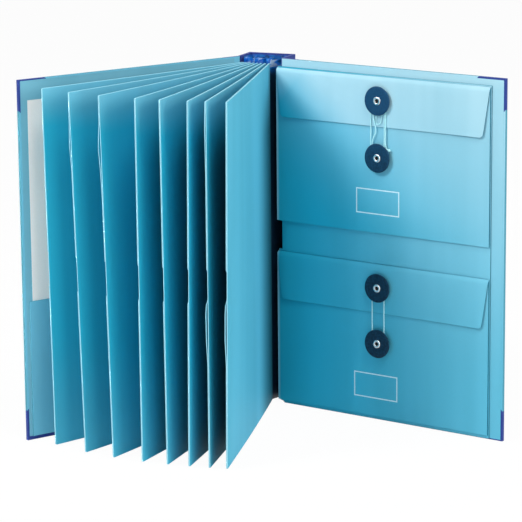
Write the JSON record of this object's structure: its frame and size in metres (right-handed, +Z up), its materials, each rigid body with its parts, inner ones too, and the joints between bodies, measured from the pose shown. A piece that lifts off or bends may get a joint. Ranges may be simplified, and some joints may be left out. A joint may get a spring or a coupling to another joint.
{
  "type": "accordion file folder",
  "caption": "Hard-cover expanding file standing open, its pocket leaves fanned from a pleated spine, with a cover pocket and two string-and-button envelopes.",
  "frame": {"origin": "middle of the spine's foot, on the surface the file stands on", "axes": "+Z up the spine, -Y from the spine towards the free edges of the leaves, +X towards the cover with the envelopes"},
  "size_m": [0.3942, 0.258, 0.32],
  "materials": {
    "board": "plain grey board",
    "cover_paper": "smooth blue covering paper",
    "violet_cloth": "fine violet-blue book cloth",
    "blue_card": "smooth light blue card",
    "gusset_paper": "satin bright blue paper",
    "white_paper": "plain white paper",
    "button_card": "smooth navy card",
    "eyelet_metal": "bright rolled metal",
    "string": "pale twisted string"
  },
  "bodies": {
    "spine": {"spine_board": "board", "left_side_board": "board", "right_side_board": "board", "spine_cloth": "violet_cloth", "spine_lining": "gusset_paper", "accordion_gusset": "gusset_paper"},
    "left_cover": {"left_board": "board", "left_cover_paper": "cover_paper", "left_hinge_cloth": "violet_cloth", "left_lining": "blue_card", "left_top_corner": "violet_cloth", "left_bottom_corner": "violet_cloth", "left_pocket_front": "blue_card", "left_pocket_edges": "blue_card"},
    "insert_sheet": {"insert_sheet": "white_paper"},
    "right_cover": {"right_board": "board", "right_cover_paper": "cover_paper", "right_hinge_cloth": "violet_cloth", "right_lining": "blue_card", "right_top_corner": "violet_cloth", "right_bottom_corner": "violet_cloth", "envelope_backing": "blue_card", "upper_envelope_front": "blue_card", "lower_envelope_front": "blue_card", "upper_envelope_edges": "blue_card", "lower_envelope_edges": "blue_card", "upper_body_spacer": "button_card", "lower_body_spacer": "button_card", "upper_body_eyelet": "eyelet_metal", "lower_body_eyelet": "eyelet_metal", "upper_string": "string", "lower_string": "string"},
    "upper_flap": {"upper_flap": "blue_card", "upper_flap_spacer": "button_card", "upper_flap_eyelet": "eyelet_metal"},
    "lower_flap": {"lower_flap": "blue_card", "lower_flap_spacer": "button_card", "lower_flap_eyelet": "eyelet_metal"},
    "upper_flap_button": {"upper_flap_button": "button_card"},
    "upper_body_button": {"upper_body_button": "button_card"},
    "lower_flap_button": {"lower_flap_button": "button_card"},
    "lower_body_button": {"lower_body_button": "button_card"},
    "leaf_1": {"leaf_1_front": "blue_card", "leaf_1_back": "blue_card"},
    "leaf_2": {"leaf_2_front": "blue_card", "leaf_2_back": "blue_card"},
    "leaf_3": {"leaf_3_front": "blue_card", "leaf_3_back": "blue_card"},
    "leaf_4": {"leaf_4_front": "blue_card", "leaf_4_back": "blue_card"},
    "leaf_5": {"leaf_5_front": "blue_card", "leaf_5_back": "blue_card"},
    "leaf_6": {"leaf_6_front": "blue_card", "leaf_6_back": "blue_card"},
    "leaf_7": {"leaf_7_front": "blue_card", "leaf_7_back": "blue_card"},
    "leaf_8": {"leaf_8_front": "blue_card", "leaf_8_back": "blue_card"}
  },
  "joints": [
    {"name": "left_cover_hinge", "type": "hinge", "parent": "spine", "child": "left_cover", "pos_m": [-0.0225, -0.02665, 0], "axis": [0, 0, -1], "range_deg": [-31.7, 58.3]},
    {"name": "right_cover_hinge", "type": "hinge", "parent": "spine", "child": "right_cover", "pos_m": [0.0225, -0.02665, 0], "axis": [0, 0, 1], "range_deg": [-76.7, 13.3]},
    {"name": "leaf_1_turn", "type": "hinge", "parent": "spine", "child": "leaf_1", "pos_m": [-0.0162, -0.02875, 0], "axis": [0, 0, -1], "range_deg": [-25.57, 47.01]},
    {"name": "leaf_2_turn", "type": "hinge", "parent": "spine", "child": "leaf_2", "pos_m": [-0.0126, -0.02919, 0], "axis": [0, 0, -1], "range_deg": [-17.57, 32.3]},
    {"name": "leaf_3_turn", "type": "hinge", "parent": "spine", "child": "leaf_3", "pos_m": [-0.009, -0.02948, 0], "axis": [0, 0, -1], "range_deg": [-10.52, 19.33]},
    {"name": "leaf_4_turn", "type": "hinge", "parent": "spine", "child": "leaf_4", "pos_m": [-0.0054, -0.02963, 0], "axis": [0, 0, -1], "range_deg": [-3.27, 6]},
    {"name": "leaf_5_turn", "type": "hinge", "parent": "spine", "child": "leaf_5", "pos_m": [-0.0018, -0.02963, 0], "axis": [0, 0, 1], "range_deg": [-1.67, 0.31]},
    {"name": "leaf_6_turn", "type": "hinge", "parent": "spine", "child": "leaf_6", "pos_m": [0.0018, -0.02948, 0], "axis": [0, 0, 1], "range_deg": [-6.37, 1.12]},
    {"name": "leaf_7_turn", "type": "hinge", "parent": "spine", "child": "leaf_7", "pos_m": [0.0054, -0.02919, 0], "axis": [0, 0, 1], "range_deg": [-9.67, 1.69]},
    {"name": "leaf_8_turn", "type": "hinge", "parent": "spine", "child": "leaf_8", "pos_m": [0.009, -0.02875, 0], "axis": [0, 0, 1], "range_deg": [-12.92, 2.26]},
    {"name": "upper_flap_hinge", "type": "hinge", "parent": "right_cover", "child": "upper_flap", "pos_m": [0.12446, -0.0561, 0.312], "axis": [-0.9732, 0.23, 0], "range_deg": [0, 150], "deforming": ["upper_string"]},
    {"name": "lower_flap_hinge", "type": "hinge", "parent": "right_cover", "child": "lower_flap", "pos_m": [0.12446, -0.0561, 0.1435], "axis": [-0.9732, 0.23, 0], "range_deg": [0, 150], "deforming": ["lower_string"]},
    {"name": "upper_flap_button_turn", "type": "hinge", "parent": "upper_flap", "child": "upper_flap_button", "pos_m": [0.12363, -0.0596, 0.291], "axis": [-0.23, -0.9732, 0], "continuous": true},
    {"name": "upper_body_button_turn", "type": "hinge", "parent": "right_cover", "child": "upper_body_button", "pos_m": [0.12363, -0.0596, 0.24], "axis": [-0.23, -0.9732, 0], "continuous": true},
    {"name": "lower_flap_button_turn", "type": "hinge", "parent": "lower_flap", "child": "lower_flap_button", "pos_m": [0.12363, -0.0596, 0.1225], "axis": [-0.23, -0.9732, 0], "continuous": true},
    {"name": "lower_body_button_turn", "type": "hinge", "parent": "right_cover", "child": "lower_body_button", "pos_m": [0.12363, -0.0596, 0.0715], "axis": [-0.23, -0.9732, 0], "continuous": true},
    {"name": "insert_sheet_slide", "type": "slide", "parent": "left_cover", "child": "insert_sheet", "axis": [0, 0, 1], "range_m": [0, 0.12]}
  ],
  "couplings": [
    {"joint": "leaf_1_turn", "follows": "left_cover_hinge", "ratio": 0.80599},
    {"joint": "leaf_2_turn", "follows": "left_cover_hinge", "ratio": 0.55363},
    {"joint": "leaf_3_turn", "follows": "left_cover_hinge", "ratio": 0.33123},
    {"joint": "leaf_4_turn", "follows": "left_cover_hinge", "ratio": 0.10252},
    {"joint": "leaf_5_turn", "follows": "right_cover_hinge", "ratio": 0.021512},
    {"joint": "leaf_6_turn", "follows": "right_cover_hinge", "ratio": 0.08279},
    {"joint": "leaf_7_turn", "follows": "right_cover_hinge", "ratio": 0.12582},
    {"joint": "leaf_8_turn", "follows": "right_cover_hinge", "ratio": 0.16819}
  ]
}
